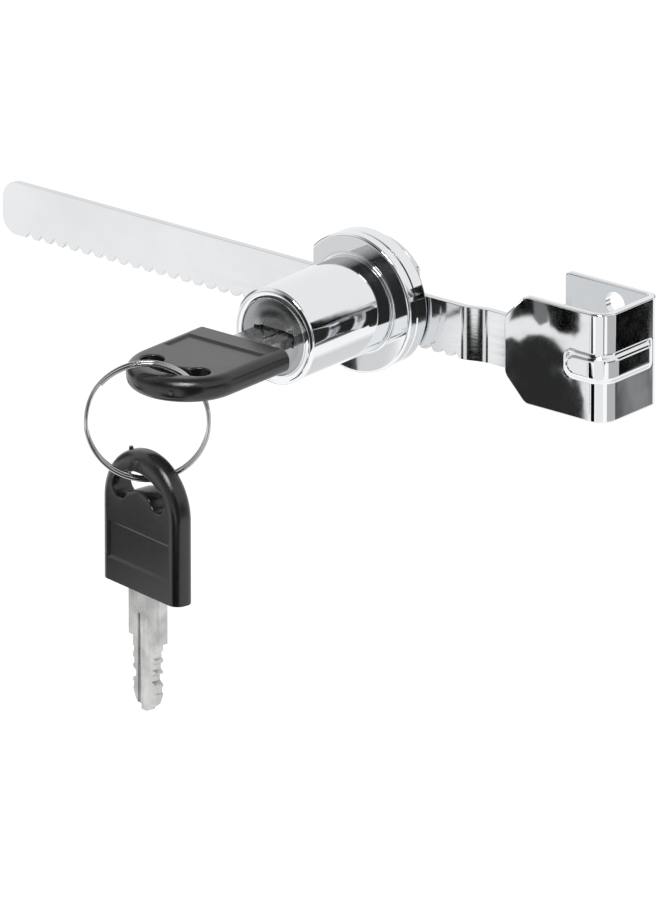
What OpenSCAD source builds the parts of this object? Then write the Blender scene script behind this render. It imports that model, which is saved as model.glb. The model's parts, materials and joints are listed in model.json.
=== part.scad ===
// Ratchet lock for sliding glass cabinet doors, with two keys on a split ring.
// The origin is the middle of the clip's web, on the inner face that the edge of the glass rests on.
// X runs along the bar toward the clip, Y runs to the back and Z is up. Sizes are in millimetres.

/* [Glass clip] */
// Thickness of the clip's sheet
clip_thk = 1.4; // [1.2:0.1:1.6]
// Height of the clip
clip_h = 21.2; // [20:0.2:24]
// Depth of the clip over both legs
clip_depth = 16.5; // [14:0.5:18]
// Length of the front leg, with the web
front_leg = 23.5; // [21:0.5:25]
// Length of the back leg, with the web
back_leg = 21.4; // [19:0.2:24]
// Outer radius of the two bends
bend_r = 2.2; // [1.8:0.1:2.8]
// Size of the cut corners of the front leg
corner_cut = 4.9; // [3:0.1:5.2]
// Corner radius of the back leg
back_r = 1.2; // [1:0.1:3]
// Width of the pressed rib
rib_w = 5.6; // [4:0.2:7]
// Height of the pressed rib above the sheet
rib_h = 0.8; // [0.4:0.1:1]
// Distance from the web to the end of the rib on the front leg
rib_reach = 9.5; // [7:0.5:13]
// Diameter of the two screw holes in the back leg
hole_d = 4.5; // [3.5:0.1:5]
// Distance between the two screw holes
hole_gap = 13.8; // [12:0.2:14.6]
// Distance from the web's outer face to the screw holes
hole_in = 9.5; // [8:0.5:12]

/* [Ratchet bar] */
// Thickness of the bar
bar_thk = 1.4; // [1.2:0.1:1.6]
// Height of the bar to the tips of its teeth
bar_h = 10.4; // [9.8:0.1:10.8]
// Distance from the glass seat to the tip of the bar
bar_reach = 142.2; // [130:0.2:160]
// Radius of the two corners at the tip
tip_r = 3.5; // [2:0.1:4.5]
// Length of the tip that has no teeth
tip_plain = 5; // [4:0.5:10]
// Distance from one tooth to the next
tooth_pitch = 3; // [2.8:0.1:3.2]
// Depth of the notches between the teeth
tooth_depth = 1.2; // [1.1:0.05:1.5]
// Width of a notch at the edge
notch_w = 1.8; // [1.7:0.1:2.2]
// Distance from the lock's axis to the last notch, toward the clip
teeth_after = 19.5; // [15:0.5:20]
// Distance from the lock's axis to the joggle
joggle_at = 21.5; // [21:0.5:23]
// Length of the joggle that steps the bar back behind the clip
joggle_len = 4; // [3:0.5:5]
// Length of the end that lies behind the front leg
lap_len = 15; // [10:1:17]

/* [Lock body] */
// Distance from the glass seat to the lock's axis
axis_to_seat = 53.1; // [51:0.1:56]
// Height of the lock's axis above the middle of the bar
axis_up = 2.4; // [2.2:0.1:2.6]
// Diameter of the barrel
barrel_d = 18.6; // [18:0.2:20]
// Length of the barrel in front of the flange
barrel_len = 23.3; // [23:0.1:26]
// Bevel round the barrel's face
face_bevel = 0.6; // [0.4:0.1:0.9]
// Diameter of the flange
flange_d = 26.8; // [26.6:0.2:30]
// Distance from the bar to the front of the flange
flange_front = 5.6; // [5.5:0.1:7]
// Distance from the bar to the back of the flange
flange_gap = 0.3; // [0.2:0.1:0.6]
// Edge bevel of the flange
flange_bevel = 0.6; // [0.3:0.1:0.9]
// Outer diameter of the groove round the barrel's root
groove_d = 22.8; // [21.5:0.2:23.6]
// Depth of that groove
groove_depth = 0.9; // [0.5:0.1:1]
// Distance from the axis to the flat on the flange's left side
flat_at = 9.5; // [9.4:0.1:11]
// Thickness of the rear cover
cover_thk = 0.8; // [0.6:0.1:1.2]

/* [Plug and wafers] */
// Diameter of the plug
plug_d = 11; // [10.8:0.1:11.4]
// Diameter of the plug's head
plug_head_d = 14.6; // [14:0.1:14.8]
// Thickness of the plug's head
plug_head_thk = 1.6; // [1.4:0.1:1.8]
// Depth of the head's face below the barrel's rim
face_sink = 0.35; // [0.2:0.05:0.5]
// Diameter of the dished recess round the keyway
dish_d = 7; // [6:0.1:7.4]
// Radial clearance of the turning fits
turn_fit = 0.05; // [0.03:0.01:0.08]
// Number of wafers
wafer_count = 5; // [5:1:5]
// Distance from one wafer to the next
wafer_pitch = 2.3; // [2.2:0.05:2.4]
// Thickness of a wafer
wafer_thk = 0.8; // [0.7:0.05:0.9]
// Throw of the pin on the plug's tail
pin_throw = 0.9; // [0.86:0.01:0.94]
// Diameter of that pin
pin_d = 3; // [2.6:0.1:3.2]

/* [Keys] */
// Width of a key head
head_w = 22.3; // [21.6:0.1:23]
// Length of a key head
head_len = 27; // [26.6:0.1:28]
// Thickness of a key head
head_thk = 4.6; // [4.4:0.1:4.8]
// Radius of the head's long edges
head_edge_r = 2; // [1.2:0.1:2.1]
// Width of the bare label panel
panel_w = 18; // [14:0.5:19]
// Length of the bare label panel
panel_len = 7.4; // [5:0.2:8]
// Distance from the head's round end to the centre of its arched hole
slot_in = 13.4; // [13.2:0.05:13.6]
// Length of the blade's shoulder
shoulder_len = 9.5; // [9:0.1:10]
// Width of the blade's shoulder
shoulder_w = 9; // [8.6:0.1:9.6]
// Length of the cut part of the blade
cut_len = 13.8; // [13.4:0.1:14]
// Width of the cut part of the blade
blade_w = 6.4; // [6.2:0.1:6.8]
// Thickness of the blade
blade_thk = 2; // [1.8:0.1:2.1]

/* [Key ring] */
// Outer diameter of the ring
ring_d = 23.3; // [23:0.1:23.8]
// Diameter of the ring's wire
wire_d = 0.8; // [0.7:0.05:0.9]
// Clear space between the two turns
turn_gap = 0.45; // [0.42:0.01:0.5]
// Direction of the ring's plane, seen from above
ring_yaw = 39.4; // [37:0.2:42]
// Direction of the hanging key's width, seen from above
hang_yaw = 168; // [162:1:170]
// Distance from the first head's straight end to the middle of the ring
hook_out = 24.8; // [24.6:0.05:25]
// Distance that the middle of the ring lies to the left of the lock's axis
hook_left = 1.9; // [1.7:0.05:2.1]
// Distance from the first head's top down to the middle of the ring
hook_drop = 9.65; // [9.5:0.05:9.8]
// Room above the ring's wire in the second key's hole
hang_gap = 1.25; // [1.2:0.05:1.4]

/* [Hidden] */
$fn = 64;

// Reach of a cut past the face that it opens
over = 1;

// Thickness of the layers that a key head is drawn over
skin = 0.01;

// A quarter turn
quarter = 90;

// Colours
chrome = [0.86, 0.87, 0.89];
steel = [0.72, 0.73, 0.75];
brass = [0.80, 0.66, 0.36];
black = [0.12, 0.12, 0.13];

// Places of the clip and the bar
bar_y = -clip_depth / 2;
leg_x = clip_thk - front_leg;
back_x = clip_thk - back_leg;
tip_x = -bar_reach;
axis_x = -axis_to_seat;
jog_x0 = axis_x + joggle_at;
jog_x1 = jog_x0 + joggle_len;
lap_x = leg_x + lap_len;
// Share of the rib's width and height that each of its two steps has
rib_steps = [[1, 0.55], [0.72, 1]];
jog_shift = bar_thk * tan(atan(bar_thk / joggle_len) / 2);
notch_0 = axis_x - tooth_pitch / 2;
notches_left = floor((notch_0 - notch_w / 2 - tip_x - tip_plain) / tooth_pitch);
notches_right = floor((teeth_after + tooth_pitch / 2) / tooth_pitch);

// Heights of the bar as seen from the lock's axis
bar_top = bar_h / 2 - axis_up;
bar_low = -bar_h / 2 - axis_up;

// Depths of the lock, from the bar's front face
bar_run = 0.1;
cover_y = bar_thk + bar_run;
cover_back = cover_y + cover_thk;
face_y = -flange_front - barrel_len;
cavity_y = -4;
flat_over = 0.05;
rim_line = 3.4;
line_w = 0.4;
boss_r = 11.6;
boss_inset = 0.15;
boss_half = flat_at - boss_inset;

// Plug
plug_r = plug_d / 2;
head_r = plug_head_d / 2;
plug_face = face_y + face_sink;
plug_head_back = plug_face + plug_head_thk;
tail_r = 4;
tail_y = -2.7;
plug_end_gap = 0.2;
plug_end = cavity_y - plug_end_gap;
dish_depth = 0.4;
mouth_depth = 0.6;
pin_r = pin_d / 2;
pin_end = -0.5;
pin_off = pin_throw * sin(45);
pawl_lift = 2 * pin_off;

// Clip on the plug's tail
ring_start = 0.1;
ring_y0 = cavity_y + ring_start;
ring_thk = 0.8;
ring_r = 6.3;
ring_seat_r = 3.2;
ring_slot = 5.2;
ring_play = 0.05;
pocket_r = 6.6;

// Pawl
pawl_y0 = -2.4;
pawl_y1 = -0.4;
wing_half = 7.9;
wing_low = -2.8;
wing_high = 2.8;
foot_half = 3.1;
foot_h = 2.7;
foot_low = bar_low - foot_h;
foot_inset = 0.2;
foot_back = bar_thk - foot_inset;
tip_gap = 0.3;
pawl_tip = bar_low - tip_gap;
pawl_tooth_h = 1;
pawl_tooth_w = 1.4;
pawl_tooth_tip = 0.12;
pawl_play = 0.15;
yoke_play = 0.15;
yoke_w = pin_d + pin_throw - pin_off + 2 * yoke_play;
yoke_h = pin_d + 2 * yoke_play;
yoke_x = -(pin_throw + pin_off) / 2;

// Pawl springs
spring_x = 6.7;
spring_r = 0.7;
spring_wire = 0.35;
spring_turns = 5;
spring_low = -8.4;
spring_y = (pawl_y0 + pawl_y1) / 2;

// Rivets of the rear cover
rivet_r = 0.6;
rivet_play = 0.05;
rivet_head_r = 1.1;
rivet_head_h = 0.5;
rivet_y = -2.2;
rivet_spots = [[-6.6, 6.4], [6.6, 6.4], [-5.3, -9.2], [5.3, -9.2]];

// Wafers, in the plug
wafer_lead = 1.6;
wafer_first = plug_head_back + wafer_lead;
wafer_half_h = 1.95;
wafer_short = 0.12;
wafer_end_r = plug_r - wafer_short;
slot_play = 0.2;
wafer_slot = wafer_thk + slot_play;
wafer_play = 0.12;
window_side = 0.5;
window_rise = 0.3;
window_half_w = blade_w / 2 + window_side;
window_half_h = blade_thk / 2 + window_rise;
lug_x = 2.6;
lug_w = 1;
lug_top = 3.15;
lug_pocket_x = -2.2;
lug_pocket_top = 3.4;
wafer_spring_r = 0.34;
wafer_wire = 0.2;
wafer_turns = 5;
groove_out = 1.1;

// Keyway
key_play = 0.2;
keyway_half = blade_w / 2 + key_play;
keyway_h = blade_thk + 2 * key_play;
keyway_past = 1;
keyway_end = plug_face + mouth_depth + cut_len + keyway_past;
mouth_w = 9.5;
mouth_h = 2.6;
mouth_play = 0.1;
ward_w = 0.6;
ward_h = 0.35;
flute_at = 1.3;
flute_w = 1;
flute_depth = 0.5;

// Key head
key_y = plug_face + mouth_depth - mouth_play - shoulder_len;
tang_w = 8;
tang_len = 13;
head_layers = 4;
end_at = head_len - head_w / 2;
slot_at = head_len - slot_in;
slot_r = 7.73;
slot_w = 3.5;
slot_half = 45;
lobe_r = 2.2;
lobe_x = slot_r * sin(slot_half);
lobe_y = slot_at + slot_r * cos(slot_half);
panel_at = 4.3;
panel_depth = 0.4;
pip_x = 4.8;
pip_r = 0.5;
pip_len = 0.6;

// Cuts along the two edges of the blade: place from the shoulder and depth
cut_w = 1;
cut_slope = 0.6;
cuts_a = [[2.6, 0.25], [4.9, 0.35], [7.2, 0.9], [9.5, 0.2]];
cuts_b = [[2.6, 0.5], [4.9, 0.7], [7.2, 1.0], [9.5, 0.3]];
spear_neck = 10.8;
spear_neck_w = 6;
spear_at = 12.2;
spear_w = 4.8;
spear_tip_w = 1.6;

// Ring, hooked over the end wall of the first key's head
ring_run_r = ring_d / 2 - wire_d / 2;
ring_in_r = ring_d / 2 - wire_d;
ring_sides = 8;
ring_turns = 2;
loop_rings = 24;
layer = (wire_d + turn_gap) / 2;
split_at = 165;
split_half = 26;
jog_half = 18;
hook_x = -hook_left;
hook_y = key_y - hook_out;
hook_z = head_thk / 2 - hook_drop;

// Second key, hanging from the ring
hang_z = hook_z - ring_in_r + hang_gap - slot_at - slot_r - slot_w / 2;

// Frames
module at_axis() {
    translate([axis_x, bar_y, axis_up]) children();
}

module along_y() {
    rotate([-90, 0, 0]) children();
}

// A shape drawn as seen from the front, from one depth to another
module slab(y0, y1) {
    translate([0, y1, 0]) rotate([90, 0, 0]) linear_extrude(height = y1 - y0) children();
}

// A round pin or hole along Y
module rod(r, y0, y1, x = 0, z = 0) {
    translate([x, y0, z]) along_y() cylinder(r = r, h = y1 - y0);
}

// A block between two corners
module block(a, b) {
    translate(a) cube(b - a);
}

// Rectangle between two corners
module panel(a, b) {
    translate(a) square(b - a);
}

// Tube that runs round an axis: a list of [angle, height] at one radius
module wound(path, r, wire, sides) {
    n = len(path);
    points = [for (p = path, j = [0 : sides - 1])
        let (b = 360 * j / sides, q = r + wire / 2 * cos(b))
        [q * cos(p[0]), q * sin(p[0]), p[1] + wire / 2 * sin(b)]];
    walls = [for (i = [0 : n - 2], j = [0 : sides - 1], k = [0, 1])
        let (a = i * sides + j, b = i * sides + (j + 1) % sides)
        k == 0 ? [a, b + sides, a + sides] : [a, b, b + sides]];
    first = [for (j = [1 : sides - 2]) [0, j + 1, j]];
    last = [for (j = [1 : sides - 2]) [(n - 1) * sides, (n - 1) * sides + j, (n - 1) * sides + j + 1]];
    polyhedron(points = points, faces = concat(walls, first, last));
}

function on_path(p, r) = [r * cos(p[0]), r * sin(p[0]), p[1]];

// Least clear space between parts of the tube that lie a quarter turn or more apart
function own_gap(path, r, wire) = min([for (i = [0 : len(path) - 1], j = [i + 1 : 1 : len(path) - 1])
    if (path[j][0] - path[i][0] > quarter) norm(on_path(path[i], r) - on_path(path[j], r))]) - wire;

// Spring of even turns that stands on height 0
function coil(turns, length, wire, rings) = [for (i = [0 : turns * rings])
    [360 * i / rings, wire / 2 + (length - wire) * i / (turns * rings)]];

// Height of the ring's wire at an angle counted along both turns
function turn_height(a) = a < 360 - jog_half ? -layer : a > 360 + jog_half ? layer :
    layer * sin(quarter * (a - 360) / jog_half);

ring_path = [for (i = [0 : ring_turns * loop_rings])
    let (a = split_half + (360 * ring_turns - 2 * split_half) * i / (ring_turns * loop_rings))
    [split_at + a, turn_height(a)]];
pawl_coil = coil(spring_turns, wing_low - spring_low, spring_wire, 12);
wafer_coil = coil(wafer_turns, lug_x - lug_pocket_x, wafer_wire, 8);

echo(ring_gap = own_gap(ring_path, ring_run_r, wire_d));
echo(pawl_spring_gap = own_gap(pawl_coil, spring_r, spring_wire));
echo(wafer_spring_gap = own_gap(wafer_coil, wafer_spring_r, wafer_wire));

// Bar

module bar_plan() {
    polygon([
        [tip_x, bar_y],
        [jog_x0, bar_y],
        [jog_x1, bar_y + bar_thk],
        [lap_x, bar_y + bar_thk],
        [lap_x, bar_y + 2 * bar_thk],
        [jog_x1 - jog_shift, bar_y + 2 * bar_thk],
        [jog_x0 - jog_shift, bar_y + bar_thk],
        [tip_x, bar_y + bar_thk]
    ]);
}

module bar_side() {
    low = -bar_h / 2;
    notches = [for (k = [-notches_left : notches_right], c = [-1, 0, 1])
        [notch_0 + k * tooth_pitch + c * notch_w / 2, c == 0 ? low + tooth_depth : low]];
    polygon(concat(
        [[tip_x, low + tip_r], [tip_x + tip_r, low]],
        notches,
        [[lap_x, low], [lap_x, -low], [tip_x + tip_r, -low], [tip_x, -low - tip_r]]
    ));
    for (s = [-1, 1]) translate([tip_x + tip_r, s * (bar_h / 2 - tip_r)]) circle(r = tip_r);
}

module ratchet_bar() {
    color(chrome) intersection() {
        translate([0, 0, -bar_h / 2]) linear_extrude(height = bar_h) bar_plan();
        slab(bar_y - over, bar_y + 2 * bar_thk + over) bar_side();
    }
}

// Clip

module bent_outline(grow, left) {
    r = bend_r + grow;
    x = clip_thk - bend_r;
    y = clip_depth / 2 - bend_r;
    panel([left, -y - r], [x, y + r]);
    panel([left, -y], [x + r, y]);
    for (s = [-1, 1]) translate([x, s * y]) circle(r = r);
}

module clip_plan() {
    left = min(leg_x, back_x) - over;
    difference() {
        bent_outline(0, left);
        bent_outline(-clip_thk, left - over);
    }
}

module front_side() {
    h = clip_h / 2;
    c = corner_cut;
    polygon([
        [leg_x, c - h],
        [leg_x + c, -h],
        [clip_thk, -h],
        [clip_thk, h],
        [leg_x + c, h],
        [leg_x, h - c]
    ]);
}

module back_side() {
    h = clip_h / 2;
    panel([back_x + back_r, -h], [clip_thk, h]);
    panel([back_x, back_r - h], [clip_thk, h - back_r]);
    for (s = [-1, 1]) translate([back_x + back_r, s * (h - back_r)]) circle(r = back_r);
}

// Rib round the front bend: a broad low step with a narrower high one on it
module rib() {
    x = clip_thk - bend_r;
    y = bend_r - clip_depth / 2;
    for (s = rib_steps) {
        half = s[0] * rib_w / 2;
        rise = s[1] * rib_h;
        slab(bar_y - rise, bar_y + clip_thk / 2) {
            panel([clip_thk - rib_reach + half, -half], [x, half]);
            translate([clip_thk - rib_reach + half, 0]) circle(r = half);
        }
        intersection() {
            translate([x, y, -half]) cylinder(r = bend_r + rise, h = 2 * half);
            block([x, y - bend_r - rise, -half], [x + bend_r + rise, y, half]);
        }
        block([clip_thk / 2, y, -half], [clip_thk + rise, clip_depth / 2 - bend_r, half]);
    }
}

module glass_clip() {
    color(chrome) difference() {
        union() {
            intersection() {
                translate([0, 0, -clip_h / 2]) linear_extrude(height = clip_h) clip_plan();
                union() {
                    slab(-clip_depth, 0) front_side();
                    slab(0, clip_depth) back_side();
                }
            }
            difference() {
                rib();
                translate([0, 0, -clip_h]) linear_extrude(height = 2 * clip_h) {
                    bent_outline(-clip_thk, leg_x);
                }
            }
        }
        for (s = [-1, 1]) {
            rod(hole_d / 2, 0, clip_depth, clip_thk - hole_in, s * hole_gap / 2);
        }
    }
}

// Lock body

module body_turned() {
    r = barrel_d / 2;
    f = flange_d / 2;
    g = groove_d / 2;
    along_y() rotate_extrude() polygon([
        [0, face_y],
        [r - face_bevel, face_y],
        [r, face_y + face_bevel],
        [r, -flange_front + groove_depth],
        [(r + g) / 2, -flange_front + groove_depth],
        [g, -flange_front],
        [f - flange_bevel, -flange_front],
        [f, -flange_front + flange_bevel],
        [f, -rim_line - line_w / 2],
        [f - line_w / 2, -rim_line],
        [f, -rim_line + line_w / 2],
        [f, -flange_gap - flange_bevel],
        [f - flange_bevel, -flange_gap],
        [0, -flange_gap]
    ]);
}

// Disc behind the flange that carries the bar's channel and the cover
module boss_shape(y0, y1) {
    intersection() {
        rod(boss_r, y0, y1);
        block([-boss_half, y0, -flange_d], [boss_half, y1, flange_d]);
    }
}

module pawl_room() {
    top = wing_high + pawl_lift + pawl_play;
    half = wing_half + pawl_play;
    stem = foot_half + pawl_play;
    back = cover_y + over;
    rod(pocket_r, cavity_y, back);
    block([-half, pawl_y0 - pawl_play, wing_low - pawl_play], [half, back, top]);
    block([-stem, pawl_y0 - pawl_play, foot_low - pawl_play], [stem, back, 0]);
    well = spring_r + spring_wire / 2 + pawl_play;
    for (s = [-1, 1]) {
        block([s * spring_x - well, spring_y - well, spring_low], [s * spring_x + well, bar_run, 0]);
    }
}

module lock_body() {
    color(chrome) at_axis() difference() {
        union() {
            body_turned();
            boss_shape(-flange_gap - over, cover_y);
        }
        block([-flange_d, -flange_front - flat_over, -flange_d], [-flat_at, cover_back, flange_d]);
        rod(plug_r + turn_fit, face_y - over, cavity_y + over);
        rod(head_r + turn_fit, face_y - over, plug_head_back + bar_run);
        groove = plug_r + groove_out;
        groove_h = wafer_half_h + 2 * wafer_play;
        groove_end = wafer_first + (wafer_count - 1) * wafer_pitch + wafer_thk;
        block([-groove, wafer_first - wafer_thk, -groove_h], [groove, groove_end, groove_h]);
        pawl_room();
        block([-flange_d, -bar_run, bar_low - pawl_play], [flange_d, cover_y + over, bar_top + pawl_play]);
        for (p = rivet_spots) rod(rivet_r + rivet_play, rivet_y, cover_y + over, p[0], p[1]);
    }
}

module rear_cover() {
    color(chrome) at_axis() difference() {
        boss_shape(cover_y, cover_back);
        for (p = rivet_spots) rod(rivet_r + rivet_play, cover_y - over, cover_back + over, p[0], p[1]);
    }
}

module cover_rivets() {
    color(steel) at_axis() for (p = rivet_spots) {
        rod(rivet_r, rivet_y, cover_back + rivet_head_h / 2, p[0], p[1]);
        translate([p[0], cover_back, p[1]]) along_y() rotate_extrude() polygon([
            [0, 0],
            [rivet_head_r, 0],
            [rivet_head_r, rivet_head_h / 2],
            [rivet_head_r / 2, rivet_head_h],
            [0, rivet_head_h]
        ]);
    }
}

// Pawl: a plate in front of the bar with a toothed foot under it

module pawl_face() {
    difference() {
        union() {
            panel([-wing_half, wing_low], [wing_half, wing_high]);
            panel([-foot_half, foot_low], [foot_half, 0]);
        }
        translate([yoke_x, -pin_off]) square([yoke_w, yoke_h], center = true);
    }
}

module pawl_foot() {
    root = pawl_tip - pawl_tooth_h;
    polygon(concat(
        [[-foot_half, foot_low], [-foot_half, root]],
        [for (s = [-1, 1], c = [[-1, 0], [-1, 1], [1, 1], [1, 0]])
            let (wide = c[1] == 1 ? pawl_tooth_tip : pawl_tooth_w)
            [s * tooth_pitch / 2 + c[0] * wide / 2, root + c[1] * pawl_tooth_h]],
        [[foot_half, root], [foot_half, foot_low]]
    ));
}

module locking_pawl() {
    color(steel) at_axis() {
        slab(pawl_y0, pawl_y1) pawl_face();
        slab(pawl_y1, foot_back) pawl_foot();
    }
}

module pawl_spring(side) {
    color(steel) at_axis() translate([side * spring_x, spring_y, spring_low]) {
        wound(pawl_coil, spring_r, spring_wire, 6);
    }
}

module pawl_spring_left() {
    pawl_spring(-1);
}

module pawl_spring_right() {
    pawl_spring(1);
}

// Plug

module keyway() {
    difference() {
        block([-keyway_half, plug_face - over, -keyway_h / 2], [keyway_half, keyway_end, keyway_h / 2]);
        for (s = [-1, 1]) {
            x = s * flute_at;
            low = s > 0 ? keyway_h / 2 - ward_h : -keyway_h / 2;
            start = plug_face + mouth_depth;
            block([x - ward_w / 2, start, low], [x + ward_w / 2, keyway_end, low + ward_h]);
        }
    }
}

// Room for one wafer and its spring
module wafer_room(i) {
    y = wafer_first + i * wafer_pitch;
    m = i % 2 == 0 ? 1 : -1;
    half = wafer_slot / 2;
    high = wafer_half_h + wafer_play;
    block([-plug_r - over, y - half, -high], [plug_r + over, y + half, high]);
    rotate([0, m > 0 ? 0 : 180, 0]) {
        block([lug_pocket_x, y - half, 0], [lug_x + lug_w + 2 * wafer_play, y + half, lug_pocket_top]);
    }
}

module plug() {
    color(steel) at_axis() difference() {
        union() {
            rod(head_r, plug_face, plug_head_back);
            rod(plug_r, plug_head_back - over, plug_end);
            rod(tail_r, plug_end - over, tail_y);
            rod(pin_r, tail_y - over, pin_end, -pin_off, -pin_off);
        }
        translate([0, plug_face, 0]) along_y() {
            translate([0, 0, -over]) cylinder(d = dish_d, h = dish_depth + over);
        }
        keyway();
        translate([0, plug_face, 0]) {
            block([-mouth_w / 2, -over, -mouth_h / 2], [mouth_w / 2, mouth_depth, mouth_h / 2]);
        }
        for (i = [0 : wafer_count - 1]) wafer_room(i);
        difference() {
            rod(tail_r + over, ring_y0 - ring_play, ring_y0 + ring_thk + ring_play);
            rod(ring_seat_r, ring_y0 - over, ring_y0 + ring_thk + over);
        }
    }
}

module plug_clip() {
    color(steel) at_axis() difference() {
        rod(ring_r, ring_y0, ring_y0 + ring_thk);
        rod(ring_seat_r + ring_play, ring_y0 - over, ring_y0 + ring_thk + over);
        translate([0, ring_y0, 0]) {
            block([0, -over, -ring_slot / 2], [ring_r + over, ring_thk + over, ring_slot / 2]);
        }
    }
}

module wafer(i) {
    y = wafer_first + i * wafer_pitch;
    color(brass) at_axis() translate([0, y, 0]) rotate([0, i % 2 == 0 ? 0 : 180, 0]) {
        slab(-wafer_thk / 2, wafer_thk / 2) difference() {
            union() {
                intersection() {
                    circle(r = wafer_end_r);
                    square([2 * plug_r, 2 * wafer_half_h], center = true);
                }
                panel([lug_x, 0], [lug_x + lug_w, lug_top]);
            }
            square([2 * window_half_w, 2 * window_half_h], center = true);
        }
    }
}

module wafer_1() {
    wafer(0);
}

module wafer_2() {
    wafer(1);
}

module wafer_3() {
    wafer(2);
}

module wafer_4() {
    wafer(3);
}

module wafer_5() {
    wafer(4);
}

module wafer_springs() {
    z = wafer_half_h + wafer_play + wafer_spring_r + wafer_wire / 2;
    color(steel) at_axis() for (i = [0 : wafer_count - 1]) {
        rotate([0, i % 2 == 0 ? 0 : 180, 0]) translate([lug_pocket_x, wafer_first + i * wafer_pitch, z]) {
            rotate([0, 90, 0]) wound(wafer_coil, wafer_spring_r, wafer_wire, 6);
        }
    }
}

// Keys: drawn with the head toward -Y, the blade toward +Y and the head's straight end at Y 0

function edge_cuts(cuts, side) = [for (c = cuts, k = [-1, -0.5, 0.5, 1])
    [side * (blade_w / 2 - (abs(k) < 1 ? c[1] : 0)),
    shoulder_len + c[0] + (abs(k) < 1 ? k * cut_w : sign(k) * (cut_w / 2 + c[1] * cut_slope))]];

function reversed(list) = [for (i = [len(list) - 1 : -1 : 0]) list[i]];

module blade_outline() {
    end = shoulder_len + cut_len;
    tip = [[spear_neck_w, spear_neck], [spear_w, spear_at]];
    right = concat(
        [[tang_w / 2, -tang_len], [tang_w / 2, 0], [shoulder_w / 2, 0], [shoulder_w / 2, shoulder_len]],
        [[blade_w / 2, shoulder_len]],
        edge_cuts(cuts_a, 1),
        [for (t = tip) [t[0] / 2, shoulder_len + t[1]]],
        [[spear_tip_w / 2, end]]
    );
    left = concat(
        [[-tang_w / 2, -tang_len], [-tang_w / 2, 0], [-shoulder_w / 2, 0], [-shoulder_w / 2, shoulder_len]],
        [[-blade_w / 2, shoulder_len]],
        edge_cuts(cuts_b, -1),
        [for (t = tip) [-t[0] / 2, shoulder_len + t[1]]],
        [[-spear_tip_w / 2, end]]
    );
    polygon(concat(right, reversed(left)));
}

module key_blade() {
    end = shoulder_len + cut_len;
    difference() {
        translate([0, 0, -blade_thk / 2]) linear_extrude(height = blade_thk) blade_outline();
        for (s = [-1, 1]) {
            x = s * flute_at;
            low = s > 0 ? blade_thk / 2 - flute_depth : -blade_thk / 2 - over;
            high = s > 0 ? blade_thk / 2 + over : flute_depth - blade_thk / 2;
            block([x - flute_w / 2, shoulder_len / 2, low], [x + flute_w / 2, end + over, high]);
        }
    }
}

module head_outline() {
    intersection() {
        panel([-head_w / 2, -head_len], [head_w / 2, head_edge_r]);
        union() {
            translate([0, -end_at]) circle(r = head_w / 2, $fn = 72);
            panel([-head_w / 2, -end_at], [head_w / 2, head_edge_r]);
        }
    }
}

// Arched hole with a round lobe at each end
module head_hole() {
    translate([0, -slot_at]) intersection() {
        difference() {
            circle(r = slot_r + slot_w / 2);
            circle(r = slot_r - slot_w / 2);
        }
        polygon([[0, 0], 2 * head_w * [-sin(slot_half), -cos(slot_half)],
            [0, -4 * head_w], 2 * head_w * [sin(slot_half), -cos(slot_half)]]);
    }
    for (s = [-1, 1]) translate([s * lobe_x, -lobe_y]) circle(r = lobe_r);
}

module key_head() {
    half = head_thk / 2;
    flat = half - head_edge_r;
    pip_y = -end_at - sqrt(head_w / 2 * head_w / 2 - pip_x * pip_x);
    difference() {
        union() {
            hull() for (s = [-1, 1], k = [0 : head_layers]) {
                a = quarter * k / head_layers;
                inset = head_edge_r * (1 - cos(a));
                translate([0, 0, s * (flat + head_edge_r * sin(a)) - (s > 0 ? skin : 0)]) {
                    linear_extrude(height = skin) offset(delta = -inset) head_outline();
                }
            }
            translate([pip_x, pip_y, 0]) rotate([90, 0, 0]) translate([0, 0, -over]) {
                cylinder(r = pip_r, h = over + pip_len);
            }
        }
        block([-head_w, 0, -head_thk], [head_w, 2 * head_edge_r, head_thk]);
        translate([0, 0, -head_thk]) linear_extrude(height = 2 * head_thk) head_hole();
        block([-tang_w / 2, -tang_len, -blade_thk / 2], [tang_w / 2, over, blade_thk / 2]);
        for (s = [0, 180]) rotate([0, s, 0]) {
            translate([0, -panel_at, 0]) {
                block([-panel_w / 2, -panel_len, half - panel_depth], [panel_w / 2, 0, head_thk]);
            }
        }
    }
}

module at_key_1() {
    at_axis() translate([0, key_y, 0]) children();
}

module at_key_2() {
    at_axis() translate([hook_x, hook_y, hang_z]) rotate([-90, 0, hang_yaw]) children();
}

module key_1_blade() {
    color(steel) at_key_1() key_blade();
}

module key_1_head() {
    color(black) at_key_1() key_head();
}

module key_ring() {
    color(steel) at_axis() translate([hook_x, hook_y, hook_z]) rotate([90, 0, ring_yaw]) {
        wound(ring_path, ring_run_r, wire_d, ring_sides);
    }
}

module key_2_blade() {
    color(steel) at_key_2() key_blade();
}

module key_2_head() {
    color(black) at_key_2() key_head();
}

ratchet_bar();
glass_clip();
lock_body();
rear_cover();
cover_rivets();
locking_pawl();
pawl_spring_left();
pawl_spring_right();
plug();
plug_clip();
wafer_1();
wafer_2();
wafer_3();
wafer_4();
wafer_5();
wafer_springs();
key_1_blade();
key_1_head();
key_ring();
key_2_blade();
key_2_head();
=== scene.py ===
"""Looks of a ratchet lock for sliding glass cabinet doors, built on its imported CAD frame.

Lengths are metres in the frame's own axes: X along the bar toward the clip, Y to the back, Z up.
"""

import json
from math import acos, cos, hypot, pi, radians, sin

import bmesh
import bpy
from bpy.props import FloatProperty, IntProperty, PointerProperty, StringProperty
from mathutils import Matrix, Vector


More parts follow.
